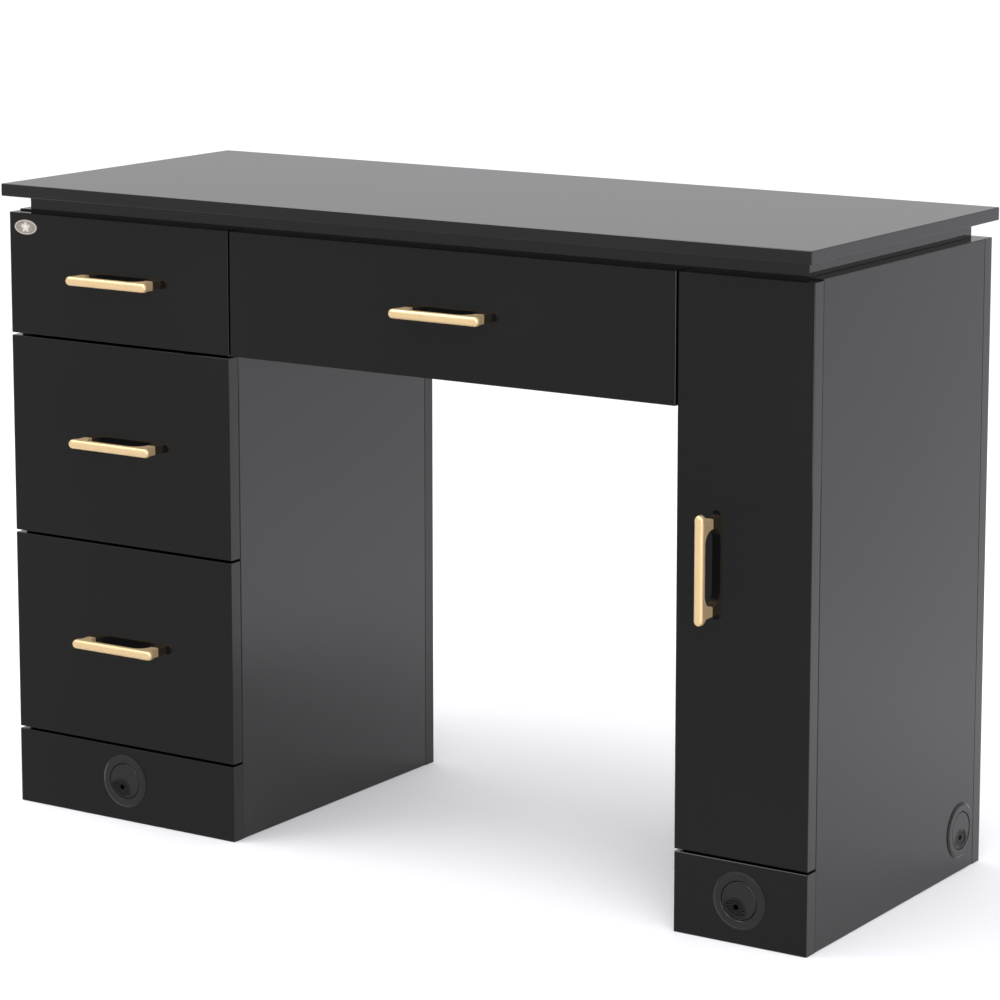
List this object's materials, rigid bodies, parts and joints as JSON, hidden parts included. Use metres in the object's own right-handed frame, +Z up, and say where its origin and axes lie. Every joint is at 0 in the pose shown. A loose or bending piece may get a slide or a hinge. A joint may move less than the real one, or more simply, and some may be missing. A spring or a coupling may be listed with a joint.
{
  "type": "manicure table",
  "caption": "Pedestal manicure desk with a floating top, drawers on full-overlay fronts, a narrow cupboard with a hinged door, bow handles and turning cable grommets.",
  "frame": {"origin": "on the floor under the centre of the whole desk's footprint, drawer handles included", "axes": "+Z up, working front faces -Y, +X to the right as seen from the front"},
  "size_m": [1.1, 0.457, 0.765],
  "materials": {
    "gloss_board": "high-gloss black lacquer on board",
    "drawer_box": "matt black melamine on board",
    "handle": "satin gold plate",
    "screw": "zinc plate",
    "plated_steel": "nickel plate",
    "slide_steel": "black powder coat",
    "grommet_plastic": "moulded, slightly textured",
    "badge": "antique silver, raised rim"
  },
  "bodies": {
    "cabinet": {"table_top": "gloss_board", "riser_front": "gloss_board", "riser_back": "gloss_board", "riser_left": "gloss_board", "riser_right": "gloss_board", "carcass_top": "gloss_board", "left_outer_side": "gloss_board", "left_inner_side": "gloss_board", "left_back": "gloss_board", "left_bottom": "gloss_board", "left_plinth": "gloss_board", "right_inner_side": "gloss_board", "right_outer_side": "gloss_board", "right_back": "gloss_board", "right_bottom": "gloss_board", "right_plinth": "gloss_board", "centre_back": "gloss_board", "shelf": "gloss_board", "shelf_pins": "plated_steel", "left_grommet_ring": "grommet_plastic", "right_grommet_ring": "grommet_plastic", "side_grommet_ring": "grommet_plastic", "hinge_arms": "plated_steel", "slide_rails": "slide_steel"},
    "door": {"door_panel": "gloss_board", "door_handle": "handle", "door_handle_screws": "screw", "hinge_cups": "plated_steel"},
    "top_drawer": {"top_drawer_front": "gloss_board", "top_drawer_sides": "drawer_box", "top_drawer_back": "drawer_box", "top_drawer_bottom": "drawer_box", "top_drawer_handle": "handle", "top_drawer_handle_screws": "screw", "top_drawer_runners": "slide_steel", "badge": "badge"},
    "middle_drawer": {"middle_drawer_front": "gloss_board", "middle_drawer_sides": "drawer_box", "middle_drawer_back": "drawer_box", "middle_drawer_bottom": "drawer_box", "middle_drawer_handle": "handle", "middle_drawer_handle_screws": "screw", "middle_drawer_runners": "slide_steel"},
    "bottom_drawer": {"bottom_drawer_front": "gloss_board", "bottom_drawer_sides": "drawer_box", "bottom_drawer_back": "drawer_box", "bottom_drawer_bottom": "drawer_box", "bottom_drawer_handle": "handle", "bottom_drawer_handle_screws": "screw", "bottom_drawer_runners": "slide_steel"},
    "centre_drawer": {"centre_drawer_front": "gloss_board", "centre_drawer_sides": "drawer_box", "centre_drawer_back": "drawer_box", "centre_drawer_bottom": "drawer_box", "centre_drawer_handle": "handle", "centre_drawer_handle_screws": "screw", "centre_drawer_runners": "slide_steel"},
    "left_grommet_cap": {"left_grommet_cap": "grommet_plastic"},
    "right_grommet_cap": {"right_grommet_cap": "grommet_plastic"},
    "side_grommet_cap": {"side_grommet_cap": "grommet_plastic"}
  },
  "joints": [
    {"name": "top_drawer_slide", "type": "slide", "parent": "cabinet", "child": "top_drawer", "axis": [0, -1, 0], "range_m": [0, 0.27]},
    {"name": "middle_drawer_slide", "type": "slide", "parent": "cabinet", "child": "middle_drawer", "axis": [0, -1, 0], "range_m": [0, 0.27]},
    {"name": "bottom_drawer_slide", "type": "slide", "parent": "cabinet", "child": "bottom_drawer", "axis": [0, -1, 0], "range_m": [0, 0.27]},
    {"name": "centre_drawer_slide", "type": "slide", "parent": "cabinet", "child": "centre_drawer", "axis": [0, -1, 0], "range_m": [0, 0.27]},
    {"name": "door_hinge", "type": "hinge", "parent": "cabinet", "child": "door", "pos_m": [0.545, -0.1955, 0.41225], "axis": [0, 0, 1], "range_deg": [0, 105]},
    {"name": "left_cap_spin", "type": "hinge", "parent": "cabinet", "child": "left_grommet_cap", "pos_m": [-0.384, -0.2045, 0.0495], "axis": [0, -1, 0], "continuous": true},
    {"name": "right_cap_spin", "type": "hinge", "parent": "cabinet", "child": "right_grommet_cap", "pos_m": [0.4655, -0.2045, 0.0495], "axis": [0, -1, 0], "continuous": true},
    {"name": "side_cap_spin", "type": "hinge", "parent": "cabinet", "child": "side_grommet_cap", "pos_m": [0.548, 0.1625, 0.0495], "axis": [1, 0, 0], "continuous": true}
  ]
}
